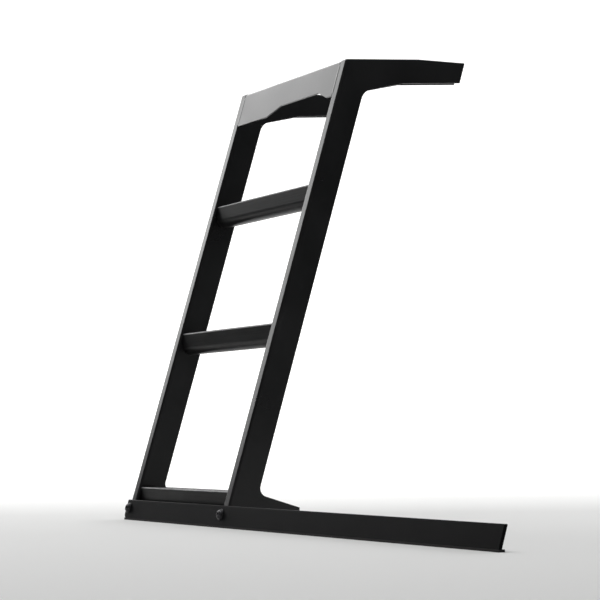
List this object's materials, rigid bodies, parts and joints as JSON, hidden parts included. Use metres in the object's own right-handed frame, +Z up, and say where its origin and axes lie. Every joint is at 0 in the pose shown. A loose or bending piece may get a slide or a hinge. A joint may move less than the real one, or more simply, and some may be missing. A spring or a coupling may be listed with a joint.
{
  "type": "vehicle side ladder",
  "caption": "Leaning side ladder with hooked top arms, flat grip plate, grooved rungs and a long base rail, for climbing to a vehicle's roof rack.",
  "frame": {"origin": "on the underside of the base pad, midway between the two side frames", "axes": "+X rearward along the vehicle and along the base rail, +Y inboard towards the vehicle, +Z up"},
  "size_m": [1.072, 0.4038, 0.675],
  "materials": {
    "coated_steel": "satin black powder coat",
    "rung_aluminium": "satin black coated extrusion",
    "rubber": "matte black"
  },
  "bodies": {
    "root": {"front_side_frame": "coated_steel", "rear_side_frame": "coated_steel", "top_plate": "coated_steel", "lower_rung": "rung_aluminium", "middle_rung": "rung_aluminium", "upper_rung": "rung_aluminium", "base_rail": "coated_steel", "base_pad": "rubber", "rail_strip": "rubber"}
  },
  "joints": []
}
